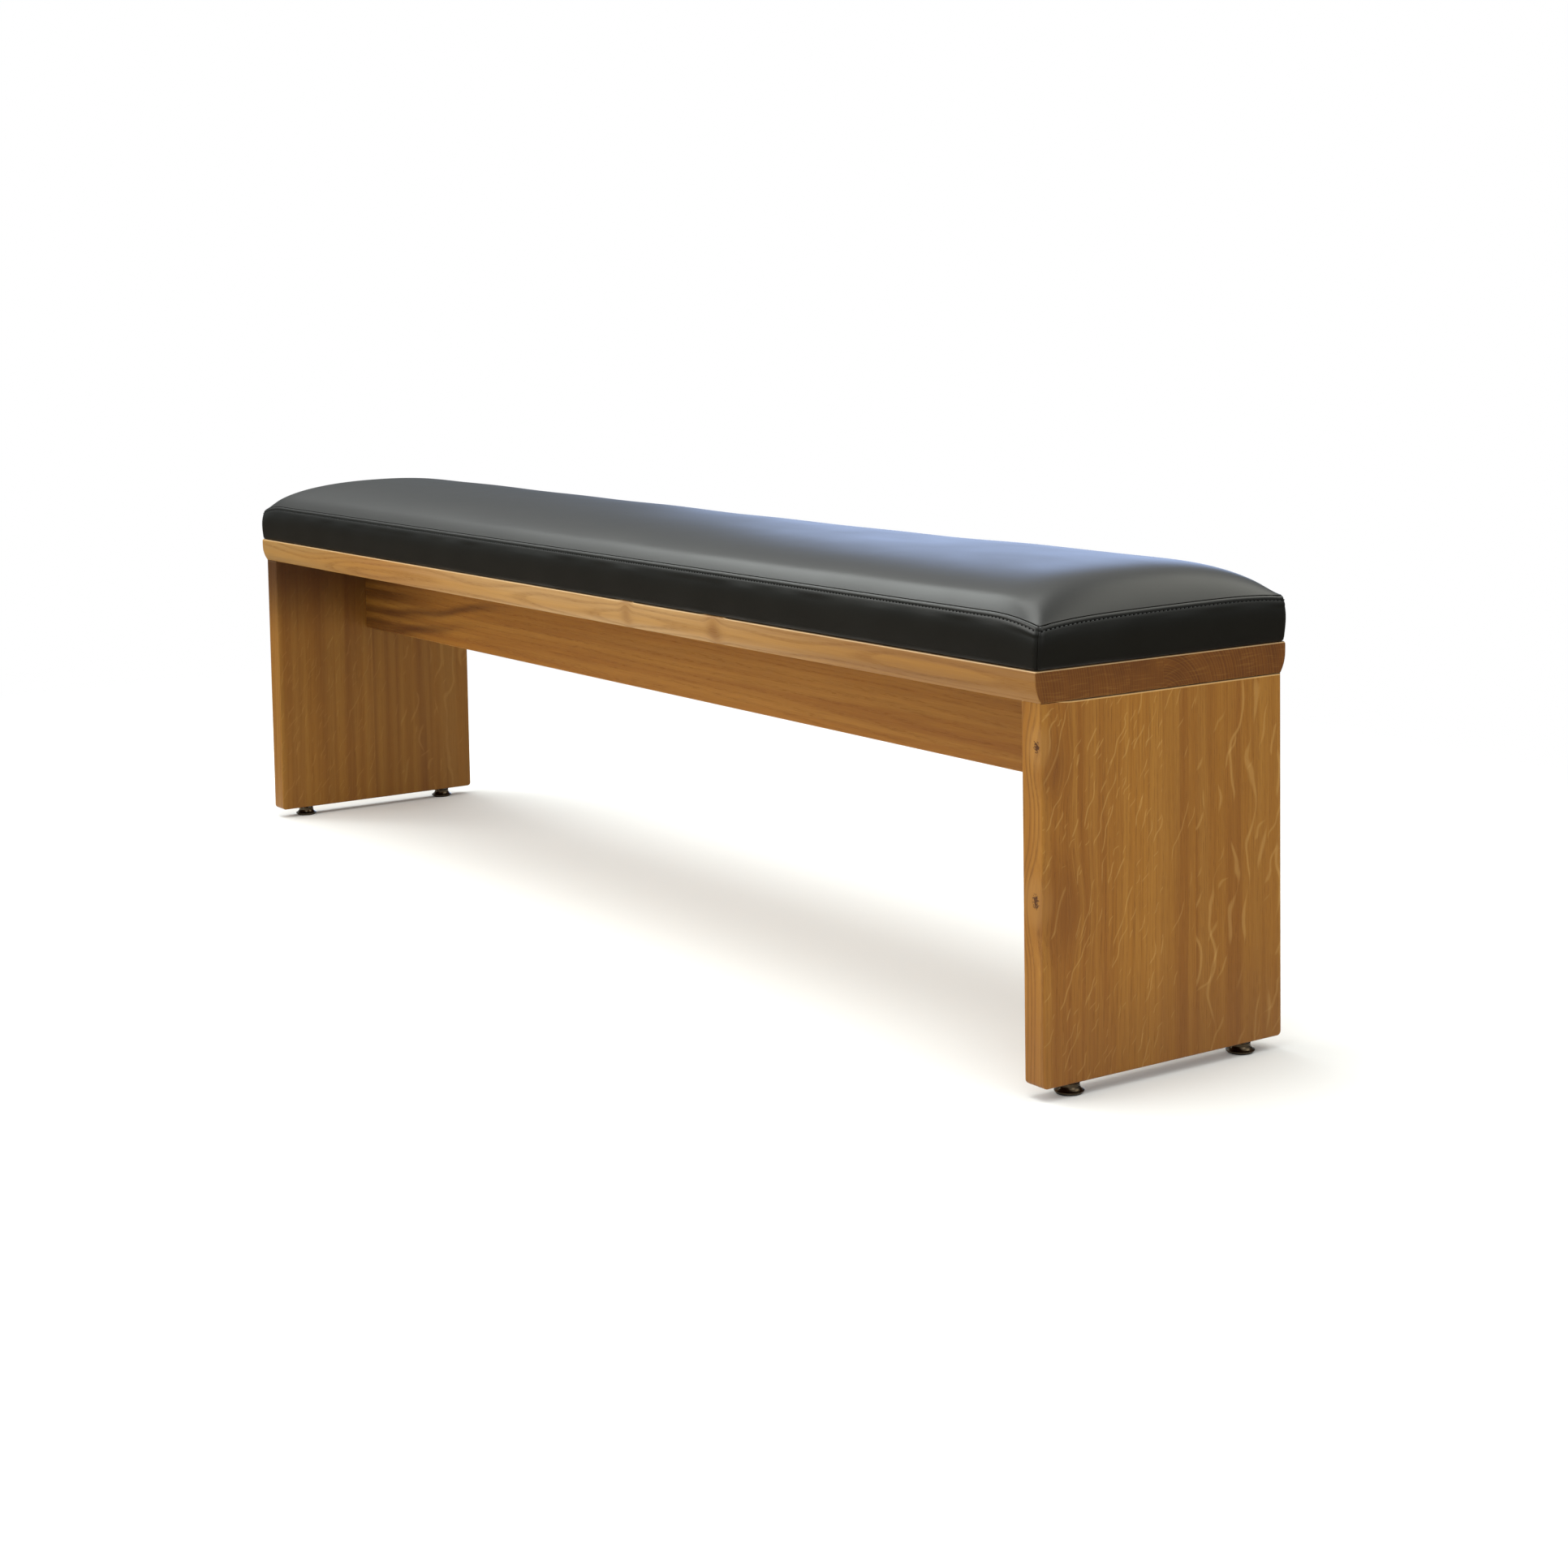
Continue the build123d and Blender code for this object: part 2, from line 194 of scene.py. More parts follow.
# a height is 0 for a level look and 1 for one straight up
white = (1.0, 1.0, 1.0)
wall_light = stain(98, 104, 106)
ceiling_light = (0.98, 1.0, 1.0)
ceiling_heights = (0.06, 0.74)
window_light = (1.7, 2.2, 3.4)
window_way = (-0.749, 0.663)
window_sides = (0.985, 0.995)
window_heights = (0.45, 0.21)
sky = Recipe(bpy.data.worlds.new("workshop"))
bpy.context.scene.world = sky.owner
east, north, height = sky.split(sky.add("ShaderNodeTexCoord", output="Generated"))
room = sky.mix(sky.ease(height, *ceiling_heights), wall_light, ceiling_light)
level_way = (east * east + north * north) ** 0.5
toward_window = (east * window_way[0] + north * window_way[1]) / level_way
window = sky.ease(toward_window, *window_sides) * sky.ease(height, *window_heights)
straight, mirrored = sky.seen_by()
room = sky.mix(window * mirrored, room, window_light)
seen = sky.mix(straight, room, white)
shine = sky.add("ShaderNodeBackground", None, {"Color": seen, "Strength": 1.0})
sky.add("ShaderNodeOutputWorld", None, {"Surface": shine})


# Soft boxes, six in all. The front one lights the front and the near one the near leg. The other four
# stand where the leather mirrors them, and draw the pad's crown and shoulders.
def soft_box(name, place, target, width, depth, watts, colour):
    """A rectangular lamp at a place, turned to a target."""
    lamp = bpy.data.lights.new(name, "AREA")
    lamp.shape = "RECTANGLE"
    lamp.size = width
    lamp.size_y = depth
    lamp.energy = watts
    lamp.color = colour
    away = np.array(place) - np.array(target)
    back = away / np.linalg.norm(away)
    side = np.cross((0.0, 0.0, 1.0), back)
    side = side / np.linalg.norm(side)
    set_up(name, lamp, place, side, np.cross(back, side), back)


soft_box("front_box", (-1.0, -3.4, 2.3), (0.0, 0.0, 0.2), 2.6, 1.6, 46.0, (1.0, 0.97, 0.93))
soft_box("near_box", (3.6, 0.2, 2.0), (0.9, 0.0, 0.2), 1.6, 1.2, 13.0, (1.0, 0.98, 0.95))
soft_box("far_box", (-2.9, -0.7, 3.5), (0.6, -0.1, 0.45), 2.6, 1.4, 60.0, (0.94, 0.99, 0.97))
soft_box("side_box", (-3.2, -2.6, 2.6), (0.85, -0.16, 0.45), 1.7, 1.3, 38.0, (0.96, 0.99, 0.95))
soft_box("back_box", (1.4, 2.2, 2.5), (0.85, 0.0, 0.45), 2.8, 1.4, 25.0, (1.0, 1.0, 0.88))
soft_box("top_box", (0.2, -0.45, 3.0), (0.5, -0.1, 0.45), 2.6, 1.5, 54.0, (0.97, 1.0, 0.97))

# Pale floor, which fades to plain white away from the bench. The shine of leather, oil and metal shows
# it near the bench, and the dim workshop floor beyond.
def new_finish(name):
    """An empty recipe for a finish, and the place on the piece, which every finish reads."""
    recipe = Recipe(bpy.data.materials.new(name))
    return recipe, recipe.add("ShaderNodeTexCoord", output="Object")


floor_reach = 30.0
bench_reach = (0.9, 0.16)
pale_paint = (0.84, 0.84, 0.83)
dim_paint = stain(84, 76, 68)
dim_from = (0.03, 0.35)
white_from = (0.35, 1.5)
paving, place = new_finish("pale_floor")
past_end, past_side = [
    paving.add("ShaderNodeMath", {"operation": "MAXIMUM"}, {0: abs(away) - reach, 1: 0.0})
    for away, reach in zip(paving.split(place), bench_reach)
]
past = (past_end * past_end + past_side * past_side) ** 0.5
straight, mirrored = paving.seen_by()
paint = paving.mix(mirrored * paving.ease(past, *dim_from), pale_paint, dim_paint)
lit_floor = paving.add("ShaderNodeBsdfDiffuse", None, {"Color": paint})
plain_white = paving.add("ShaderNodeEmission", None, {"Color": white})
fade = paving.ease(past, *white_from) * straight
shown = paving.add("ShaderNodeMixShader", None, {0: fade, 1: lit_floor, 2: plain_white})
paving.add("ShaderNodeOutputMaterial", None, {"Surface": shown})
corners = [(x * floor_reach, y * floor_reach, 0.0) for x, y in ((-1, -1), (1, -1), (1, 1), (-1, 1))]
floor_mesh = bpy.data.meshes.new("floor")
floor_mesh.from_pydata(corners, [], [(0, 1, 2, 3)])
floor_mesh.materials.append(paving.owner)
floor = bpy.data.objects.new("floor", floor_mesh)
bpy.context.scene.collection.objects.link(floor)


# Slab legs: oiled oak, 30 mm thick, each glued up from three upright staves. The outer staves are
# sawn on the quarter and show their rays, the narrow middle one is plain. The tints come first. Those
# that change with a stave's tone are kept as they show, from 0 to 255.
dark_ground, light_ground = (141, 86, 20), (157, 102, 28)
band_tint, streak_tint, pale_fibre = (174, 122, 46), (126, 76, 14), (192, 142, 64)
early_tint, dark_fibre, pore_tint = stain(114, 66, 12), stain(106, 60, 10), stain(84, 44, 8)
heart_tint, ray_tint = stain(78, 40, 12), stain(206, 160, 88)
dark_end_grain, light_end_grain = stain(90, 47, 4), stain(120, 70, 10)
cut_early, cut_late, cut_ray = stain(70, 36, 6), stain(146, 98, 36), stain(160, 112, 48)
knot_pale, knot_dark, knot_core = stain(182, 134, 72), stain(112, 64, 18), stain(70, 36, 12)
knot_shape = (1.0, 1.0, 0.62)
grain_parting = 0.7


def finish_with(finish, *covered):
    """Gives CAD nodes one finish in place of the plain one they came with."""
    for node in covered:
        nodes[node].data.materials.clear()
        nodes[node].data.materials.append(finish.owner)


def oak(
    name,
    along,
    across,
    pith,
    ring,
    seed,
    rays=(),
    tone=0,
    knots=(),
    streaks=(),
    edges=(),
    figure=1.0,
    shades=(),
):
    """Oak with its grain along one axis, and the stave's width across another. The pith is the tree's
    middle: its place across the stave and through it, and how far it moves through the stave for each
    metre of length. A ring is the width of a year's growth, and figure is how strongly grain shows."""
    wood, place = new_finish(name)
    facing = wood.add("ShaderNodeTexCoord", output="Normal")

    def toned(red, green, blue):
        """A tint moved by the stave's tone, most in red and least in blue."""
        return stain(red + tone, green + tone * 0.65, blue + tone * 0.25)

    # grain parts round each knot, which has a dark cracked core and a pale or dark halo
    core = 0.0
    pale_halo = 0.0
    dark_halo = 0.0
    for centre, size, reach in knots:
        away = wood.vector("SUBTRACT", {0: place, 1: centre})
        slim = wood.vector("MULTIPLY", {0: away, 1: knot_shape})
        distance = wood.vector("LENGTH", {0: slim}, "Value")
        pull = math.e ** ((distance / reach) ** 2 * -1.0)
        shift = wood.vector("SCALE", {0: away, "Scale": pull * -grain_parting})
        if size:
            ragged = (wood.noise(place, (700, 700, 700), seed, 1.0) - 0.5) * size * 2.2
            core = core + wood.ease(distance + ragged, size, size * 0.5)
            pale_halo = pale_halo + wood.ease(pull, 0.45, 0.9)
        else:
            dark_halo = dark_halo + pull
        place = wood.vector("ADD", {0: place, 1: shift})
    axes = dict(zip("XYZ", wood.split(place)))
    faces = dict(zip("XYZ", wood.split(facing)))
    through = next(axis for axis in "XYZ" if axis not in (along, across))
    a, w, t = axes[along], axes[across], axes[through]
    stuff = wood.join(w, t, a)

    # growth rings round the pith, with a slow wander along the tree
    wander_lumps, wander_depth = (9, 9, 2.6), 0.02
    w_bent = w + (wood.noise(stuff, wander_lumps, seed, 1.0) - 0.5) * wander_depth
    t_bent = t + (wood.noise(stuff, wander_lumps, seed + 9, 1.0) - 0.5) * wander_depth
    from_w = w_bent - pith[0]
    from_t = t_bent - (a * pith[2] + pith[1])
    radius = (from_w * from_w + from_t * from_t) ** 0.5
    on_radius = wood.join(radius, 0.0, 0.0)
    season = (radius / ring + wood.noise(on_radius, (110, 1, 1), seed) * 1.8) % 1.0
    early = wood.ease(season, 0.0, 0.14) * wood.ease(season, 0.62, 0.26)
    late = wood.ease(season, 0.66, 0.96)

    def patches(lumps_across, lumps_along, number, low, high, detail=2.0):
        """Soft patches, so many a metre across the grain and along it."""
        lumps = (lumps_across, lumps_across, lumps_along)
        return wood.ease(wood.noise(stuff, lumps, seed + number, detail), low, high)

    # slow changes of tone along the stave, broad bands, narrow streaks, fibres, and the open pores of
    # the springwood
    fibre = wood.noise(stuff, (1000, 1000, 20), seed + 7, 1.0)
    pore = patches(1900, 70, 11, 0.57, 0.68, 0.0)
    colour = wood.mix(patches(34, 0.8, 3, 0.32, 0.68), toned(*dark_ground), toned(*light_ground))
    # shades under the grain: painted light and shade along a face, on the stretcher mixed with darker
    # heartwood
    for axis, low, high, share, shade in shades:
        colour = wood.mix(wood.ease(axes[axis], low, high) * share, colour, shade)
    colour = wood.mix(patches(75, 1.3, 4, 0.36, 0.66) * 0.46, colour, toned(*band_tint))
    streak = patches(330, 5, 5, 0.42, 0.66)
    colour = wood.mix(streak * (0.06 + 0.2 * figure), colour, toned(*streak_tint))
    edge_face = wood.ease(abs(faces[across]), 0.55, 0.95)
    colour = wood.mix(early * (edge_face * 0.6 + 0.26) * figure, colour, early_tint)
    colour = wood.mix(wood.ease(fibre, 0.52, 0.32) * 0.24 * figure, colour, dark_fibre)
    colour = wood.mix(wood.ease(fibre, 0.56, 0.74) * 0.28 * figure, colour, toned(*pale_fibre))
    colour = wood.mix(pore * (early * 0.75 + 0.25) * 0.5 * figure, colour, pore_tint)

    # dark heart streaks, each from one place along and across the stave to another
    for (start_a, start_w), (end_a, end_w), width in streaks:
        run = wood.ease(a, start_a, end_a)
        line = run * (end_w - start_w) + start_w
        wave = (wood.noise(stuff, (1, 1, 9), seed + 2) - 0.5) * width * 1.4
        thin = wood.ease(abs(w - line - wave), width, 0.0)
        ends = wood.ease(a, start_a - 0.04, start_a + 0.02) * wood.ease(a, end_a + 0.03, end_a - 0.16)
        colour = wood.mix(thin * ends * 0.62, colour, heart_tint)

    # rays: thin pale lines, each on its own wandering way, seen only in part where the face meets them
    fleck = 0.0
    for lean, gap, width, length, wander, amount, strength in rays:
        ray_seed = seed + 900 * gap
        bend = (wood.noise(stuff, (24, 24, 17), ray_seed, 1.0) - 0.5) * wander
        u = (w * math.cos(lean) - a * math.sin(lean) + bend) / gap
        v = w * math.sin(lean) + a * math.cos(lean)
        line = wood.add("ShaderNodeMath", {"operation": "FLOOR"}, {0: u})
        own = wood.join(line * 7.31, v, t)
        sway = wood.noise(own, (1, 1.5 / length, 20), ray_seed + 17) - 0.5
        shown = wood.ease(wood.noise(own, (1, 1 / length, 20), ray_seed + 31), amount, amount + 0.14)
        aside = abs(u - line - 0.5 - sway * 0.9) * gap
        fleck = fleck + wood.ease(aside, shown * width, shown * width * 0.2) * shown * strength
    if rays:
        fleck = fleck * wood.ease(abs(faces[through]), 0.55, 0.95)
        colour = wood.mix(fleck, colour, ray_tint)

    # end grain drinks more oil: darker, with the rings cut across and the rays as fine pale lines
    end = wood.ease(abs(faces[along]), 0.6, 0.92)
    angle = wood.add("ShaderNodeMath", {"operation": "ARCTAN2"}, {0: from_t, 1: from_w})
    round_pith = wood.join(angle * radius, radius, 0.0)
    ray_line = wood.ease(wood.noise(round_pith, (520, 34, 1), seed + 29, 1.0), 0.54, 0.68)
    open_end = wood.noise(stuff, (1500, 1500, 1), seed + 37)
    uneven = wood.ease(wood.noise(on_radius, (240, 1, 1), seed + 41), 0.3, 0.7)
    cut = wood.mix(wood.noise(stuff, (30, 30, 1), seed + 31, 1.0), dark_end_grain, light_end_grain)
    cut = wood.mix(early * uneven * (open_end * 0.4 + 0.2), cut, cut_early)
    cut = wood.mix(late * 0.22, cut, cut_late)
    cut = wood.mix(ray_line * 0.16, cut, cut_ray)
    colour = wood.mix(end, colour, cut)
    if knots:
        colour = wood.mix(pale_halo * 0.3, colour, knot_pale)
        colour = wood.mix(dark_halo * 0.42, colour, knot_dark)
        colour = wood.mix(wood.ease(core, 0.0, 1.0) * 0.9, colour, knot_core)

    # painted highlights along rounded arrises, painted shadow in grooves and under the board, and wood
    # that darkens towards one end
    for axis, low, high, share, shade in edges:
        colour = wood.mix(wood.ease(axes[axis], low, high) * share, colour, shade)

    relief = fibre * 0.35 - pore * (early * 0.7 + 0.3) + fleck * 0.2 - core
    gloss = 0.5 + pore * early * 0.2 - fleck * 0.08
    wood.surface(
        {"Base Color": colour, "Roughness": gloss, "Specular IOR Level": 0.3}, relief, 0.22, 0.0004
    )
    return wood


# a knot: its centre, its size or 0 where only dark wood shows, and how far the grain parts round it
leg_low, leg_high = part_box("right_leg_front_stave")
leg_knots = (
    ((0.8928, leg_low.y, 0.3452), 0.0042, 0.020),
    ((0.8892, leg_low.y, 0.1948), 0.0050, 0.024),
    ((leg_high.x, leg_low.y + 0.0140, 0.3260), 0.0, 0.016),
    ((leg_high.x, leg_low.y + 0.0260, 0.1840), 0.0, 0.026),
)
# a shade: the axis it lies along, where it starts and is full, its share, and its colour
# painted highlight along the leg's top arris, and above it painted shadow in the groove under the
# board
leg_arris_painted_light = (
    ("Z", leg_high.z - 0.0026, leg_high.z - 0.0018, 0.6, stain(220, 178, 116)),
    ("Z", leg_high.z - 0.0013, leg_high.z - 0.0008, 0.9, stain(40, 20, 6)),
)
near_foot_shade = ("Z", 0.140, 0.030, 0.3, stain(112, 68, 20))
# painted shadow of the board on the top of the far leg's inner face
far_top_painted_shadow = ("Z", leg_high.z - 0.130, leg_high.z - 0.010, 0.85, stain(62, 31, 6))
# a kind of ray: its lean, gap, width, length, wander, how few show, and how strongly
slow, slant, steep = math.radians(4), math.radians(24), math.radians(34)
slanting_rays = (
    (slant, 0.0105, 0.0013, 0.026, 0.012, 0.51, 0.27),
    (steep, 0.0078, 0.0010, 0.016, 0.008, 0.57, 0.24),
)
wavy_rays = (
    (slow, 0.0210, 0.0032, 0.064, 0.044, 0.45, 0.26),
    (steep, 0.0160, 0.0024, 0.030, 0.024, 0.57, 0.22),
)
few_rays = ((slant, 0.0110, 0.0011, 0.026, 0.006, 0.58, 0.22),)
for side, middle, side_seed, clear, figure, side_tone, knots, shade in (
    ("right", 0.885, 0.0, 1.0, 0.5, -2, leg_knots, near_foot_shade),
    ("left", -0.885, 40.0, 0.4, 0.25, -21, (), far_top_painted_shadow),
):
    staves = (
        ("front", (-0.34, middle - 0.16, 0.05), 0.0046, 1, slanting_rays, 1, knots),
        ("middle", (0.35, middle, 0.0), 0.0017, 2, few_rays, -2, ()),
        ("back", (-0.3, middle, 0.0), 0.0024, 3, wavy_rays, -3, ()),
    )
    for stave, pith, ring, number, rays, tone, spots in staves:
        wood = oak(
            f"oak_{side}_leg_{stave}",
            "Z",
            "Y",
            pith,
            ring,
            side_seed + number,
            [(*ray[:6], ray[6] * clear) for ray in rays],
            side_tone + tone,
            spots,
            edges=(*leg_arris_painted_light, shade),
            figure=figure,
        )
        finish_with(wood, f"{side}_leg_{stave}_stave")

# Seat board: three long staves of the same oak, 32 mm thick, with both long edges shaped. The end
# grain shows upright rings in the front stave and arcs round a low pith in the back one.
board_edge, board_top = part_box("board_front_stave")[0].y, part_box("board_front_stave")[1].z
swirls = (((0.1485, board_edge, 0.4031), 0.0, 0.011), ((0.3380, board_edge, 0.4030), 0.0, 0.014))
# painted highlight along the board's top arris, and above it painted shadow on the ledge under the pad
board_arris_painted_light = (
    ("Z", board_top - 0.0021, board_top - 0.0016, 0.45, stain(238, 204, 150)),
    ("Z", board_top - 0.0011, board_top - 0.0007, 0.85, stain(46, 28, 12)),
)
# painted light and shade along the board's front: duller towards the far end, paler from the middle
# on, darker towards the near end
board_painted_light = (
    ("X", -0.45, -0.8, 0.7, stain(152, 121, 72)),
    ("X", -0.75, -0.1, 0.45, stain(206, 174, 120)),
    ("X", 0.2, 0.7, 0.8, stain(132, 86, 34)),
)
for stave, pith, ring, seed, tone, knots, figure, shades in (
    ("front", (-0.30, 0.365, 0.012), 0.0030, 61, 2, swirls, 0.3, board_painted_light),
    ("middle", (-0.5, 0.39, 0.0), 0.0020, 62, -6, (), 1.0, ()),
    ("back", (-0.006, 0.369, 0.0), 0.0036, 63, 0, (), 1.0, ()),
):
    wood = oak(
        f"oak_board_{stave}",
        "X",
        "Y",
        pith,
        ring,
        seed,
        few_rays,
        tone,
        knots,
        edges=board_arris_painted_light,
        figure=figure,
        shades=shades,
    )
    finish_with(wood, f"board_{stave}_stave")

# Stretcher: one plain-sawn board on edge. Dark heart streaks run out of its left end.
heart = (((-0.80, 0.310), (-0.40, 0.344), 0.0095), ((-0.86, 0.2755), (-0.52, 0.309), 0.0110))
# its left end darker, partly as heartwood and partly as painted shade under the board
left_heart_and_shade = ("X", -0.55, -0.84, 0.92, stain(70, 36, 10))
plank = oak(
    "oak_stretcher",
    "X",
    "Z",
    (0.20, 0.16, 0.012),
    0.0052,
    71,
    tone=6,
    streaks=heart,
    figure=0.45,
    shades=(left_heart_and_shade,),
)
finish_with(plank, "stretcher")

# Loose tenons and dowels: steamed beech, glued in the joints and out of sight.
beech, place = new_finish("beech")
dash = beech.ease(beech.noise(place, (900, 900, 160), 3), 0.62, 0.7)
tint = beech.mix(beech.noise(place, (60, 60, 12), 1, 2.0), stain(196, 152, 110), stain(214, 172, 130))
tint = beech.mix(dash * 0.5, tint, stain(150, 102, 66))
beech.surface({"Base Color": tint, "Roughness": 0.6}, dash * -1.0, 0.2, 0.0003)
finish_with(
    beech,
    "left_leg_tenons",
    "right_leg_tenons",
    "left_stretcher_tenons",
    "right_stretcher_tenons",
    "stretcher_dowels",
)

# Levelling feet: a turned base in dark bronzed metal with a nylon glide pressed under it, on a zinc
# plated M8 screw in a threaded insert.
bronze, place = new_finish("bronzed_metal")
turned = bronze.noise(place, (30, 30, 4200), 2)
blotch = bronze.noise(place, (160, 160, 160), 5, 2.0)
tint = bronze.mix(blotch, stain(54, 46, 36), stain(92, 80, 64))
bronze.surface(
    {"Base Color": tint, "Metallic": 1.0, "Roughness": 0.16 + blotch * 0.16}, turned, 0.12, 0.0002
)

zinc, place = new_finish("zinc_steel")
cloud = zinc.noise(place, (240, 240, 240), 4, 2.0)
tint = zinc.mix(cloud, stain(176, 178, 182), stain(208, 208, 206))
zinc.surface(
    {"Base Color": tint, "Metallic": 1.0, "Roughness": 0.28 + cloud * 0.18}, cloud, 0.1, 0.0002
)

nylon, place = new_finish("black_nylon")
scuff = nylon.noise(place, (900, 900, 900), 6, 2.0)
tint = nylon.mix(nylon.ease(scuff, 0.45, 0.8), stain(30, 30, 31), stain(52, 51, 50))
nylon.surface({"Base Color": tint, "Roughness": 0.55}, scuff, 0.2, 0.0002)


def mesh_piece(name, vertices, faces, finish):
    """A new piece from its points and faces."""
    mesh = bpy.data.meshes.new(name)
    points = [tuple(map(float, v)) for v in vertices]
    mesh.from_pydata(points, [], [tuple(map(int, f)) for f in faces])
    mesh.polygons.foreach_set("use_smooth", [True] * len(mesh.polygons))
    mesh.materials.append(finish.owner)
    mesh.update()
    piece = bpy.data.objects.new(name, mesh)
    bpy.context.scene.collection.objects.link(piece)
    return piece


thread_pitch = 0.00125
thread_depth = 0.00065
thread_slices, rings_a_turn = 28, 6
shank_radius = 0.004
collar_height = 0.0029
plain_shank = 0.0006
point_height = 0.001


def threaded_stem(name, node):
    """The screw of one foot, with its thread cut as one helix from over the collar to the point."""
    low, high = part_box(node)
    axis_x, axis_y = (low.x + high.x) / 2, (low.y + high.y) / 2
    collar_radius = (high.x - low.x) / 2
    collar_top = low.z + collar_height
    thread_start = collar_top + plain_shank
    thread_length = high.z - point_height - thread_start
    steps = int(thread_length / thread_pitch * rings_a_turn)
    rings = [
        (low.z, 0.0, False),
        (low.z, collar_radius, False),
        (collar_top, collar_radius, False),
        (collar_top, shank_radius - thread_depth, False),
        *[(thread_start + thread_length * i / steps, shank_radius, True) for i in range(steps + 1)],
        (high.z, shank_radius - point_height, False),
        (high.z, 0.0, False),
    ]
    vertices = []
    for z, radius, cut in rings:
        for k in range(thread_slices):
            turn = k / thread_slices
            angle = 2 * math.pi * turn
            into_groove = abs(2 * ((z / thread_pitch - turn) % 1.0) - 1) if cut else 0.0
            r = radius - thread_depth * into_groove
            vertices.append((axis_x + r * math.cos(angle), axis_y + r * math.sin(angle), z))
    faces = []
    for first in range(0, (len(rings) - 1) * thread_slices, thread_slices):
        for k in range(thread_slices):
            j = (k + 1) % thread_slices
            over = first + thread_slices
            faces.append((first + k, first + j, over + j, over + k))
    stem = mesh_piece(name, vertices, faces, zinc)
    weld = stem.modifiers.new("weld", "WELD")
    weld.merge_threshold = 1e-5
    return stem


for place in ("front_left", "front_right", "back_left", "back_right"):
    finish_with(bronze, f"{place}_foot_base")
    finish_with(nylon, f"{place}_foot_glide")
    finish_with(zinc, f"{place}_foot_insert")
    screw = threaded_stem(f"{place}_levelling_screw", f"{place}_foot_stem")
    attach(screw, f"{place}_screw")
    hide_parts(f"{place}_foot_stem")

# Pad base: birch plywood, whose plies show at its edges, held by screws up through the board, and a
# thin black cloth over the leather turned in beneath.
ply_thickness = 0.0014
plywood, place = new_finish("plywood")
facing = plywood.add("ShaderNodeTexCoord", output="Normal")
ply = plywood.ease(abs((plywood.split(place)[2] / ply_thickness) % 2.0 - 1.0), 0.4, 0.6)
edge = plywood.ease(abs(plywood.split(facing)[2]), 0.7, 0.3)
figure = plywood.noise(place, (3, 40, 40), 8, 3.0)
tint = plywood.mix(figure, stain(196, 160, 112), stain(222, 190, 146))
tint = plywood.mix(ply * edge * 0.7, tint, stain(140, 98, 60))
plywood.surface({"Base Color": tint, "Roughness": 0.65})
finish_with(plywood, "pad_base")

lining, place = new_finish("bottom_cloth")
felted = lining.noise(place, (1400, 1400, 1400), 3, 3.0)
tint = lining.mix(felted, stain(24, 24, 25), stain(46, 46, 47))
lining.surface({"Base Color": tint, "Roughness": 0.9}, felted, 0.4, 0.0003)
finish_with(lining, "pad_cloth")
finish_with(zinc, "pad_screws")

# Seat pad's shape: a long box whose top swells from its seam to a soft crown, a little hollow where
# people sit, with steep ends. Its corners are drawn in, the front ones lowest. Heights are over the
# board's top.
pad_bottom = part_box("board_middle_stave")[1].z
half_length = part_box("pad_top_panel")[1].x + 0.0018
half_depth = 0.1613
corner_radius = 0.003
front_draw, back_draw = 0.0030, 0.0004
draw_reach = 0.12
long_seam = 0.0516
front_corner_seam, back_corner_seam = 0.0428, 0.0468
seam_reach, seam_power = 0.075, 2.2
end_rise = 0.0053
crown = 0.0858
crown_tilt = 0.0018
dip = 0.0028
sag, sag_middle, sag_reach = 0.0014, 0.36, 0.2
end_reach, end_power = 0.188, 8.0
shoulder = 0.90
unevenness, uneven_wave = 0.0005, 0.16
side_bulge = 0.0043


def near_end(distance, reach, power):
    """1 at the pad's very end, easing to 0 at a reach from it."""
    return np.clip(1 - distance / reach, 0, 1) ** power


def seam_level(x, v):
    """Height of the top seam, for x along and v across from -1 to 1."""
    corner = near_end(half_length - np.abs(x), seam_reach, seam_power)
    mean = (front_corner_seam + back_corner_seam) / 2
    corner_level = mean + (back_corner_seam - front_corner_seam) / 2 * v
    return long_seam + (corner_level - long_seam) * corner + end_rise * corner * (1 - v**4)


def ripple(x, y, wave, seed):
    """Slow, even unevenness, about -1 to 1, with no pattern that repeats along the bench."""
    total = np.zeros(np.broadcast(x, y).shape)
    for k in range(5):
        turn = seed * 1.3 + k * 2.4
        along = 2 * math.pi / (wave * (1 + 0.37 * k))
        crest = x * along * math.cos(turn) * 0.9 + y * along * math.sin(turn) + seed * k * 1.7
        total = total + np.sin(crest)
    return total / 2.6


def pad_plan(x, v, let_out=0.0):
    """The pad's plan, with its corners rounded and drawn in at the seam, and let out again below it.
    Also gives which way its outline faces there."""
    draw = (front_draw + back_draw) / 2 - (front_draw - back_draw) / 2 * v
    deep = half_depth - draw * near_end(half_length - np.abs(x), draw_reach, 2) * (1 - let_out)
    y = v * deep
    over_x = np.clip(np.abs(x) - (half_length - corner_radius), 0, None)
    over_y = np.clip(np.abs(y) - (deep - corner_radius), 0, None)
    reach = np.maximum(np.hypot(over_x, over_y), 1e-9)
    cut_off = 1 - np.where(over_x + over_y > 0, np.maximum(over_x, over_y) / reach, 1.0)
    round_x = np.sign(x) * (np.abs(x) - over_x * cut_off)
    round_y = np.sign(y) * (np.abs(y) - over_y * cut_off)
    facing = np.stack([np.sign(x) * over_x / reach, np.sign(y) * over_y / reach], -1)
    return np.stack([round_x, round_y], -1), facing


def swell_of(v):
    """The rise from the seam to the crown, which meets the seam at a slope."""
    side = np.abs(v)
    round_part = np.clip(1 - np.minimum(side, shoulder) ** 2.4, 0, 1) ** 0.58
    drop = np.clip((side - shoulder) / (1 - shoulder), 0, 1)
    return round_part * (1 - 0.54 * drop - 0.46 * drop * drop)


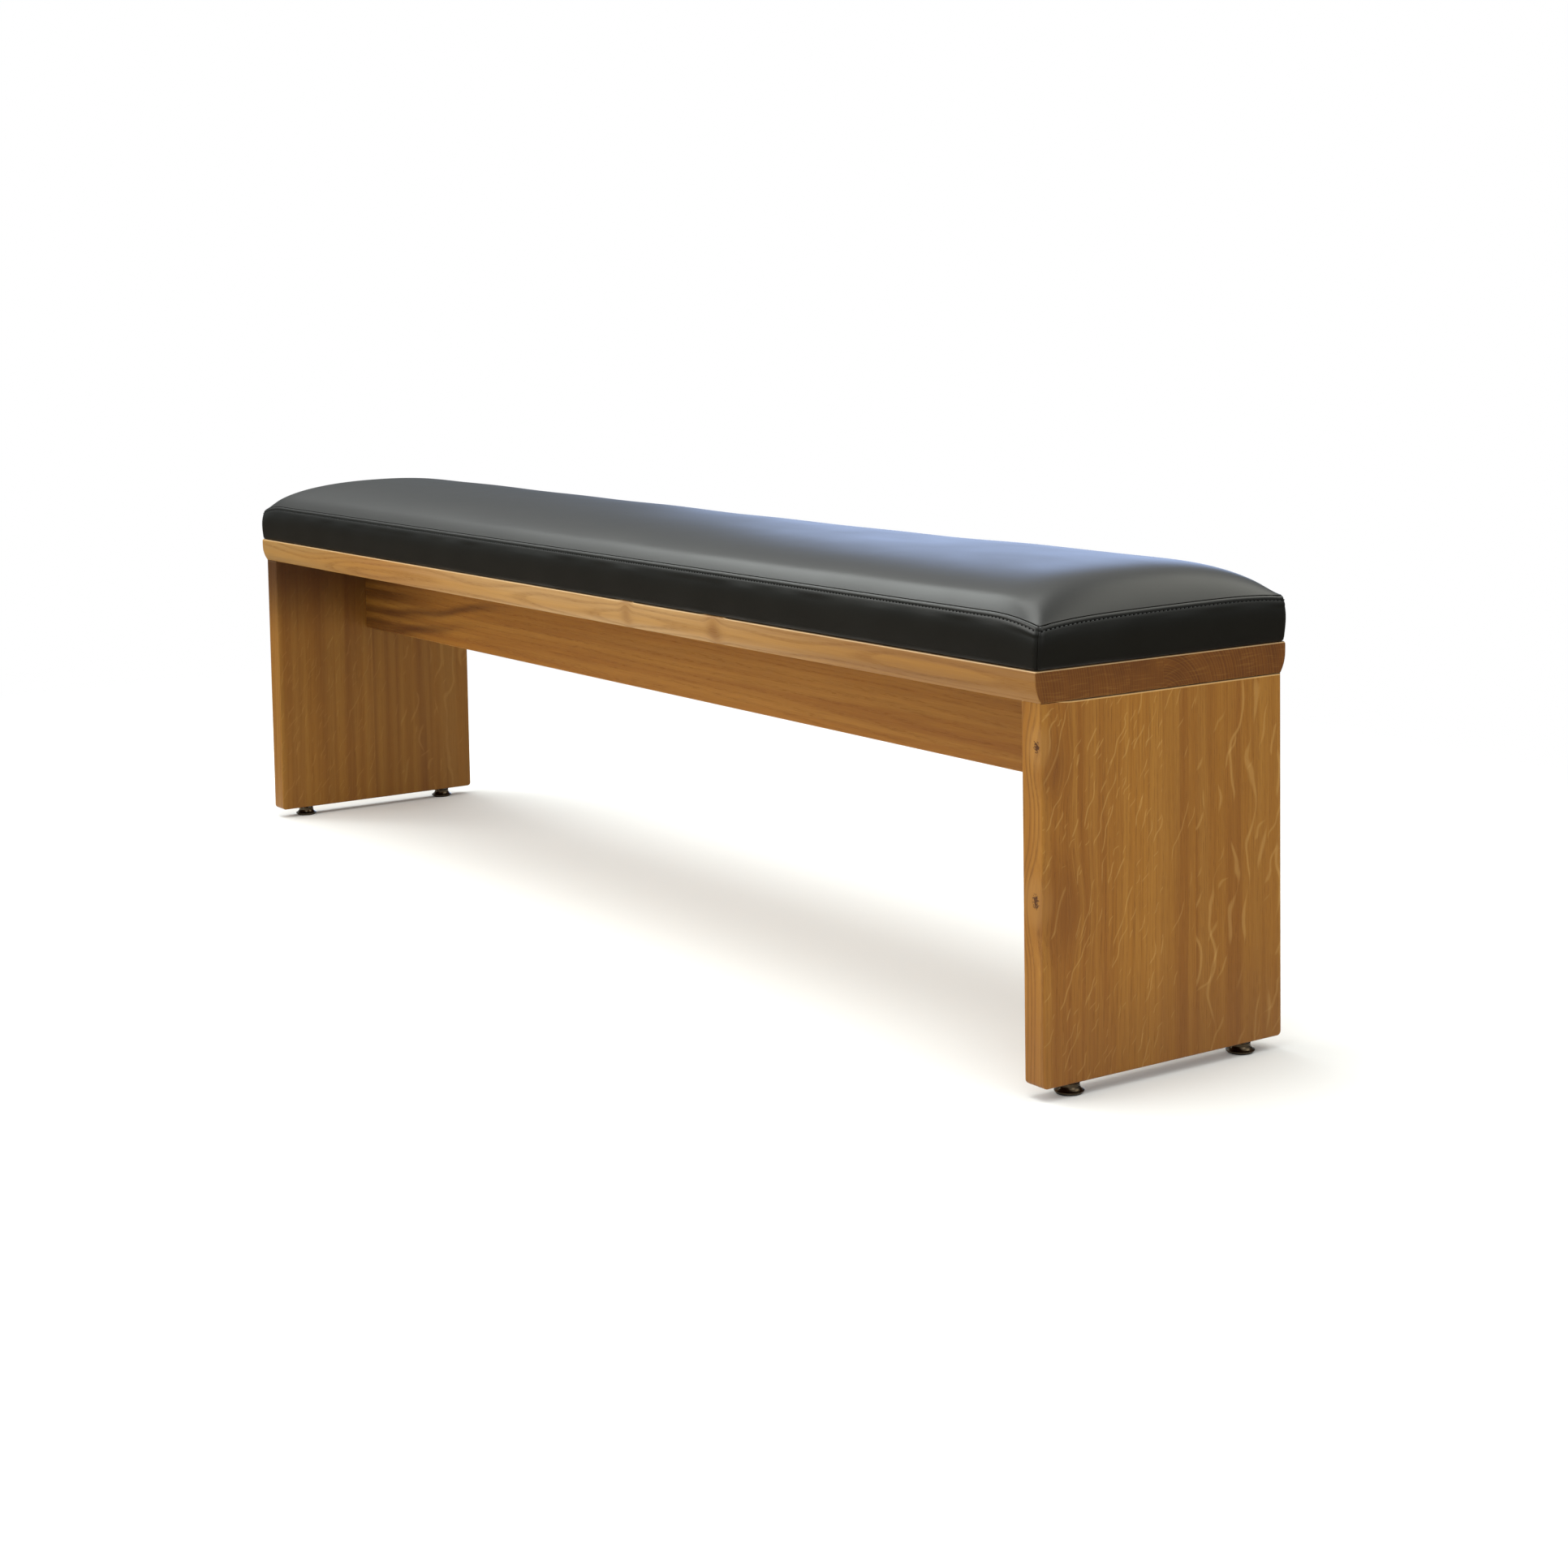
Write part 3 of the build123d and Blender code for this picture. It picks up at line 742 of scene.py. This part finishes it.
def pad_top(x, v, inset=0.0):
    """Points of the pad's top surface, or of one set in under it."""
    distance = half_length - np.abs(x)
    low = seam_level(x, v)
    toward_middle = np.clip((distance - end_reach) / (half_length - end_reach), 0, 1)
    seat_sag = sag * np.exp(-(((x - sag_middle) / sag_reach) ** 2))
    high = crown + crown_tilt * x / half_length - dip * toward_middle - seat_sag
    rise = (1 - near_end(distance, end_reach, end_power)) * swell_of(v)
    uneven = unevenness * ripple(x, v * half_depth, uneven_wave, 3)
    z = low + (high - low) * rise + uneven * rise
    plan = pad_plan(x, v)[0] * (1 - inset / half_length, 1 - inset / half_depth)
    return np.concatenate([plan, (pad_bottom + z - inset)[..., None]], -1)


# Leather: smooth black hide with a soft sheen, a faint close grain and slow stretch marks. It is
# dented at each needle hole, by the piece's own map of the way along and down from the seam, and
# painted darker there as shade.
hide_thickness = 0.0013
stitch_pitch = 0.0055
stitch_drop = 0.0054
dent_rim = (0.0012, 0.0005)
hide, place = new_finish("black_leather")
pebbles = {"Vector": place, "Scale": 900.0, "Smoothness": 0.6}
pebble = hide.add("ShaderNodeTexVoronoi", {"feature": "SMOOTH_F1"}, pebbles)
hollow = hide.noise(place, (420, 420, 420), 2, 2.0)
cloudy = hide.noise(place, (9, 16, 16), 4, 2.0)
seam_along, seam_down = hide.split(hide.add("ShaderNodeUVMap", {"uv_map": "seam"}))[:2]
past_hole = abs((seam_along / stitch_pitch) % 1.0 - 0.5) * stitch_pitch
under_hole = seam_down - stitch_drop
dent = hide.ease((past_hole * past_hole + under_hole * under_hole) ** 0.5, *dent_rim)
tint = hide.mix(cloudy, stain(13, 13, 9), stain(21, 20, 15))
# painted shade: each dent round a needle hole is darkened
tint = hide.mix(dent, tint, stain(8, 8, 8))
gloss = 0.34 + cloudy * 0.08 + dent * 0.3
relief = pebble * 0.35 + hollow * 0.3 - dent * 2.5
hide.surface(
    {"Base Color": tint, "Roughness": gloss, "Specular IOR Level": 0.4}, relief, 0.2, 0.0003
)


def grid_faces(rows, columns):
    """The numbers of a grid's points, and its faces."""
    index = np.arange(rows * columns).reshape(rows, columns)
    faces = np.stack([index[:-1, :-1], index[:-1, 1:], index[1:, 1:], index[1:, :-1]], -1)
    return index, faces.reshape(-1, 4)


def hide_piece(name, points, seam_map):
    """A sheet of hide from a grid of points, thickened inwards."""
    piece = mesh_piece(name, points.reshape(-1, 3), grid_faces(*points.shape[:2])[1], hide)
    layer = piece.data.uv_layers.new(name="seam")
    corner_vertex = np.zeros(len(piece.data.loops), int)
    piece.data.loops.foreach_get("vertex_index", corner_vertex)
    layer.data.foreach_set("uv", seam_map.reshape(-1, 2)[corner_vertex].astype(np.float32).ravel())
    shell = piece.modifiers.new("hide thickness", "SOLIDIFY")
    shell.thickness = hide_thickness
    shell.offset = -1.0
    return piece


# Top panel of the cover: one hide over the foam, turned down at its edge into the seam. The grid's
# rows lie closer towards the ends and sides. A step of the turned edge goes out and down.
edge_turn = (
    (0.0002, -0.0003),
    (0.0001, -0.0008),
    (-0.0007, -0.0017),
    (-0.0015, -0.0030),
    (-0.0020, -0.0048),
)
columns_half, rows_across = 190, 73
from_end = half_length * np.linspace(0, 1, columns_half) ** 1.7
x_values = np.unique(np.concatenate([from_end - half_length, half_length - from_end]).round(7))
v_values = np.sin(np.linspace(-math.pi / 2, math.pi / 2, rows_across))
turns = len(edge_turn)
out_steps, down_steps = np.array(edge_turn).T


def with_turned_edges(values, before, after):
    """A row of the grid's figures, with those of the turned edge on both sides."""
    return np.concatenate([np.broadcast_to(before, turns), values, np.broadcast_to(after, turns)])


x_flat, v_flat = np.zeros(len(x_values)), np.zeros(len(v_values))
x_down = with_turned_edges(x_flat, down_steps[::-1], down_steps)
v_down = with_turned_edges(v_flat, down_steps[::-1], down_steps)
v_grid, x_grid = np.meshgrid(
    with_turned_edges(v_values, -1.0, 1.0),
    with_turned_edges(x_values, x_values[0], x_values[-1]),
    indexing="ij",
)
top_points = pad_top(x_grid, v_grid)
top_points[..., 0] += with_turned_edges(x_flat, -out_steps[::-1], out_steps)[None, :]
top_points[..., 1] += with_turned_edges(v_flat, -out_steps[::-1], out_steps)[:, None]
top_points[..., 2] += np.minimum(x_down[None, :], v_down[:, None])
far_from_stitches = np.ones((*top_points.shape[:2], 2))
top_panel = hide_piece("cover_top_panel", top_points, far_from_stitches)
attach(top_panel, "bench")
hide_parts("pad_top_panel")

# Boxing: four strips of the same hide round the sides, joined at the corners. Under the top seam a
# ridge shows where the turned edge lies beneath, held by the topstitching. The strips bulge a little,
# turn under at the foot and are tucked in beneath the base, mitred at the corners.
seam_ridge = (
    (-0.0014, -0.0019),
    (-0.0006, -0.0010),
    (0.0001, -0.0010),
    (0.0005, -0.0017),
    (0.0006, -0.0028),
    (0.0003, -0.0041),
    (0.0001, -0.0048),
    (0.0000, -0.0054),
    (0.0001, -0.0061),
    (0.0002, -0.0078),
    (0.0001, -0.0100),
)
corner_steps = (0.0, 0.0005, 0.0011, 0.0018, 0.0028, 0.004, 0.0056, 0.0078, 0.0106, 0.014)
even_from, even_step = 0.018, 0.0048
corner_pinch, pinch_reach = 0.0009, 0.0009
corner_fold, fold_middle, fold_reach, fold_top = 0.0004, 0.007, 0.0035, -0.0022
side_unevenness, side_wave = 0.0004, 0.07
foot_radius, foot_gap = 0.0020, 0.0003
tuck_rows = (0.010, 0.018, 0.025)
stitch_start = 0.0025


def boxing_row(crease, x, v, out, down):
    """A row of the boxing, so far down from the seam's line and out from the plan."""
    part = np.clip(-down / (crease[:, 2] - pad_bottom), 0, 1)
    plan, facing = pad_plan(x, v, part)
    spread = out + side_bulge * (np.sin(math.pi * part**0.7) + 0.55 * part)
    return np.concatenate([plan + facing * spread[:, None], (crease[:, 2] + down)[:, None]], -1)


stitch_lines = []
for side, start, end in (
    ("front", (-1.0, -1.0), (1.0, -1.0)),
    ("right", (1.0, -1.0), (1.0, 1.0)),
    ("back", (1.0, 1.0), (-1.0, 1.0)),
    ("left", (-1.0, 1.0), (-1.0, -1.0)),
):
    runs_along = start[1] == end[1]
    half, other_half = (half_length, half_depth) if runs_along else (half_depth, half_length)
    close = np.array(corner_steps) / (2 * half)
    even = np.linspace(even_from / (2 * half), 1 - even_from / (2 * half), int(2 * half / even_step))
    share = np.concatenate([close, even, 1 - close[::-1]])
    x = (start[0] + (end[0] - start[0]) * share) * half_length
    v = start[1] + (end[1] - start[1]) * share
    crease = pad_top(x, v)
    run = np.concatenate([[0], np.cumsum(np.linalg.norm(np.diff(crease, axis=0), axis=1))])
    from_corner = np.minimum(run, run[-1] - run)
    sewn = from_corner > stitch_start
    height = crease[:, 2] - pad_bottom
    pinch = corner_pinch * np.exp(-from_corner / pinch_reach)
    level = np.zeros(len(run))
    past_fold = (from_corner - fold_middle) / fold_reach
    fold = level if runs_along else corner_fold * np.exp(-(past_fold**2))
    rows = [(level + out, level + down - fold * (down > fold_top)) for out, down in seam_ridge]
    for part in np.linspace(0.24, 0.9, 12):
        uneven = side_unevenness * ripple(run, part * 0.05, side_wave, 5 + len(side))
        rows.append((uneven, -part * height))
    base = foot_gap - height
    for turn in np.linspace(0, math.pi / 2, 5)[1:]:
        inward, upward = foot_radius * (1 - math.cos(turn)), foot_radius * (1 - math.sin(turn))
        rows.append((level - inward, base + upward))
    for inward in tuck_rows:
        rows.append((level - inward, base))
    points = np.array([boxing_row(crease, x, v, out - pinch, down) for out, down in rows])
    along_seam = run - run[sewn][0]
    seam_map = np.array([np.stack([along_seam, -down], -1) for _, down in rows])
    tucked = points[-len(tuck_rows) :]
    axis = 0 if runs_along else 1
    mitre = half - (other_half - np.abs(tucked[..., 1 - axis]))
    tucked[..., axis] = np.clip(tucked[..., axis], -mitre, mitre)
    strip = hide_piece(f"cover_{side}_boxing", points[::-1], seam_map[::-1])
    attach(strip, "bench")
    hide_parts(f"pad_{side}_boxing")
    stitch_lines.append(boxing_row(crease, x, v, 0.0, -stitch_drop)[sewn])

# Foam core: one block of seat foam under the hide, moulded to the same crown.
foam_gap, base_gap = 0.0032, 0.0002
foam, place = new_finish("foam")
cells = foam.add("ShaderNodeTexVoronoi", None, {"Vector": place, "Scale": 900.0})
tint = foam.mix(foam.noise(place, (12, 12, 12), 2, 2.0), stain(226, 216, 186), stain(238, 230, 204))
foam.surface({"Base Color": tint, "Roughness": 0.9}, cells, 0.5, 0.0004)
v_grid, x_grid = np.meshgrid(v_values[::3], x_values[::3], indexing="ij")
core_top = pad_top(x_grid, v_grid, foam_gap)
core_low = core_top.copy()
core_low[..., 2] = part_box("pad_base")[1].z + base_gap
index, quads = grid_faces(*core_top.shape[:2])
below = index.size
rim = np.concatenate([index[0, :-1], index[:-1, -1], index[-1, :0:-1], index[:0:-1, 0]])
walls = [(rim[i], rim[i - 1], rim[i - 1] + below, rim[i] + below) for i in range(len(rim))]
faces = [*quads, *(quads[:, ::-1] + below), *walls]
core = mesh_piece("foam_core", np.concatenate([core_top, core_low]).reshape(-1, 3), faces, foam)
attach(core, "bench")
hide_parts("pad_core")

# Topstitching: one row round the pad below the seam, in charcoal thread tinted light grey as a painted
# sheen. Between each two stitches a near-black matte disc stands for the needle hole, as painted
# shade.
thread_length, thread_thickness = 0.0030, 0.0006
hole_length, hole_thickness = 0.0021, 0.0015
thread, place = new_finish("charcoal_thread_and_sheen")
twist = thread.noise(place, (2600, 2600, 2600), 3)
# the thread's grey is kept light to stand for its sheen as well, a painted highlight
tint = thread.mix(twist, stain(52, 54, 54), stain(90, 93, 94))
thread.surface({"Base Color": tint, "Roughness": 0.5})

# painted shade: a near-black matte finish for the discs set at the needle holes
painted_hole_shade, place = new_finish("painted_hole_shade")
lint = painted_hole_shade.noise(place, (1800, 1800, 1800), 5)
tint = painted_hole_shade.mix(lint, stain(2, 2, 2), stain(9, 9, 8))
painted_hole_shade.surface({"Base Color": tint, "Roughness": 0.9, "Specular IOR Level": 0.05})


def stitch_tree():
    """Beads at an even pitch along every line of a guide mesh, turned along it."""
    tree = bpy.data.node_groups.new("stitch row", "GeometryNodeTree")
    tree.interface.new_socket("Guide", in_out="INPUT", socket_type="NodeSocketGeometry")
    for label in ("Pitch", "Bead length", "Bead thickness"):
        tree.interface.new_socket(label, in_out="INPUT", socket_type="NodeSocketFloat")
    tree.interface.new_socket("Finish", in_out="INPUT", socket_type="NodeSocketMaterial")
    tree.interface.new_socket("Stitches", in_out="OUTPUT", socket_type="NodeSocketGeometry")

    def add(kind, settings=None, inputs=None):
        node = tree.nodes.new(kind)
        for key, value in (settings or {}).items():
            setattr(node, key, value)
        for key, value in (inputs or {}).items():
            if isinstance(value, bpy.types.NodeSocket):
                tree.links.new(value, node.inputs[key])
            else:
                node.inputs[key].default_value = value
        return node.outputs

    given = add("NodeGroupInput")
    line = add("GeometryNodeMeshToCurve", None, {"Mesh": given["Guide"]})
    spacing = {"Curve": line["Curve"], "Length": given["Pitch"]}
    points = add("GeometryNodeCurveToPoints", {"mode": "LENGTH"}, spacing)
    bead = add("GeometryNodeMeshUVSphere", None, {"Segments": 6, "Rings": 5, "Radius": 0.5})
    thick, long = given["Bead thickness"], given["Bead length"]
    size = add("ShaderNodeCombineXYZ", None, {"X": thick, "Y": thick, "Z": long})["Vector"]
    placing = {"Points": points["Points"], "Rotation": points["Rotation"], "Scale": size}
    row = add("GeometryNodeInstanceOnPoints", None, {**placing, "Instance": bead["Mesh"]})
    real = add("GeometryNodeRealizeInstances", None, {"Geometry": row["Instances"]})
    dressing = {"Geometry": real["Geometry"], "Material": given["Finish"]}
    sewn = add("GeometryNodeSetMaterial", None, dressing)
    add("NodeGroupOutput", None, {"Stitches": sewn["Geometry"]})
    return tree


stitching = stitch_tree()


def stitch_row(name, lines, length, thickness, finish):
    """Sets beads along guide lines and keeps them as one plain piece."""
    edges = []
    first = 0
    for line in lines:
        edges += [(first + i, first + i + 1) for i in range(len(line) - 1)]
        first += len(line)
    guide = bpy.data.meshes.new(name)
    guide.from_pydata([tuple(map(float, v)) for v in np.concatenate(lines)], edges, [])
    row = bpy.data.objects.new(name, guide)
    bpy.context.scene.collection.objects.link(row)
    sewing = row.modifiers.new("stitches", "NODES")
    sewing.node_group = stitching
    sockets = stitching.interface.items_tree
    inputs = {item.name: item.identifier for item in sockets if item.in_out == "INPUT"}
    sewing[inputs["Pitch"]] = stitch_pitch
    sewing[inputs["Bead length"]] = length
    sewing[inputs["Bead thickness"]] = thickness
    sewing[inputs["Finish"]] = finish.owner
    view = bpy.context.evaluated_depsgraph_get()
    row.data = bpy.data.meshes.new_from_object(row.evaluated_get(view))
    row.modifiers.clear()
    row.data.polygons.foreach_set("use_smooth", [True] * len(row.data.polygons))
    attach(row, "bench")


hole_lines = []
for line in stitch_lines:
    first = line[1] - line[0]
    start = line[0] - first / np.linalg.norm(first) * stitch_pitch / 2
    hole_lines.append(np.concatenate([[start], line[1:]]))
stitch_row("cover_topstitching", stitch_lines, thread_length, thread_thickness, thread)
stitch_row("cover_painted_hole_shades", hole_lines, hole_length, hole_thickness, painted_hole_shade)
